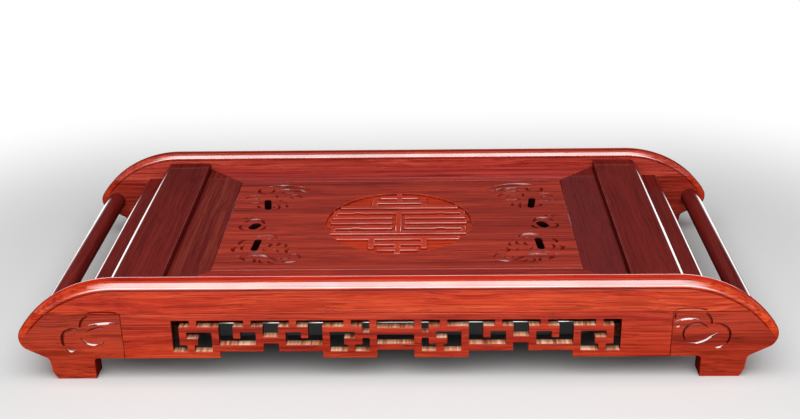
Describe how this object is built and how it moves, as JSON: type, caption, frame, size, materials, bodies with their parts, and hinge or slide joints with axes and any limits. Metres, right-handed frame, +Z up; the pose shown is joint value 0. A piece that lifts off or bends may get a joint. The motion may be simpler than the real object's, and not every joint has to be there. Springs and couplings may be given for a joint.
{
  "type": "tea tray",
  "caption": "Long low wooden tea tray with scroll-ended side boards, pierced fretwork, handle rods and a carved lift-out deck over a steel water pan.",
  "frame": {"origin": "middle of the tray on the surface it stands on", "axes": "+X along the tray to its right-hand end, +Y across it to the far side board, +Z up"},
  "size_m": [0.6, 0.292, 0.0846],
  "materials": {
    "side_rosewood": "gloss lacquer",
    "panel_rosewood": "gloss lacquer",
    "frame_rosewood": "gloss lacquer",
    "dark_rosewood": "gloss lacquer",
    "plain_rosewood": "sanded, not lacquered",
    "beech": "plain",
    "screw_steel": "zinc plated",
    "stainless_steel": "satin"
  },
  "bodies": {
    "carcass": {"near_top_rail": "side_rosewood", "far_top_rail": "side_rosewood", "near_left_end_block": "side_rosewood", "near_right_end_block": "side_rosewood", "far_left_end_block": "side_rosewood", "far_right_end_block": "side_rosewood", "near_fret_panel": "side_rosewood", "far_fret_panel": "side_rosewood", "left_handle_rod": "dark_rosewood", "right_handle_rod": "dark_rosewood", "left_end_rail": "dark_rosewood", "right_end_rail": "dark_rosewood", "left_end_board": "dark_rosewood", "right_end_board": "dark_rosewood", "left_end_wall": "plain_rosewood", "right_end_wall": "plain_rosewood", "left_deck_ledge": "plain_rosewood", "right_deck_ledge": "plain_rosewood", "left_pan_ledge": "plain_rosewood", "right_pan_ledge": "plain_rosewood", "near_left_block_dowel_1": "beech", "near_left_block_dowel_2": "beech", "near_right_block_dowel_1": "beech", "near_right_block_dowel_2": "beech", "far_left_block_dowel_1": "beech", "far_left_block_dowel_2": "beech", "far_right_block_dowel_1": "beech", "far_right_block_dowel_2": "beech", "near_left_rail_dowel_1": "beech", "near_left_rail_dowel_2": "beech", "near_right_rail_dowel_1": "beech", "near_right_rail_dowel_2": "beech", "far_left_rail_dowel_1": "beech", "far_left_rail_dowel_2": "beech", "far_right_rail_dowel_1": "beech", "far_right_rail_dowel_2": "beech"},
    "deck": {"deck_panel": "panel_rosewood", "left_deck_stile": "dark_rosewood", "right_deck_stile": "dark_rosewood", "near_deck_rail": "frame_rosewood", "far_deck_rail": "frame_rosewood", "left_batten": "plain_rosewood", "right_batten": "plain_rosewood", "near_left_batten_screw": "screw_steel", "near_right_batten_screw": "screw_steel", "far_left_batten_screw": "screw_steel", "far_right_batten_screw": "screw_steel"},
    "pan": {"water_pan": "stainless_steel"}
  },
  "joints": [
    {"name": "deck_lift", "type": "slide", "parent": "carcass", "child": "deck", "axis": [0, 0, 1], "range_m": [0, 0.16]},
    {"name": "pan_lift", "type": "slide", "parent": "carcass", "child": "pan", "axis": [0, 0, 1], "range_m": [0, 0.08]}
  ],
  "couplings": [
    {"joint": "pan_lift", "follows": "deck_lift", "ratio": 0.5}
  ]
}
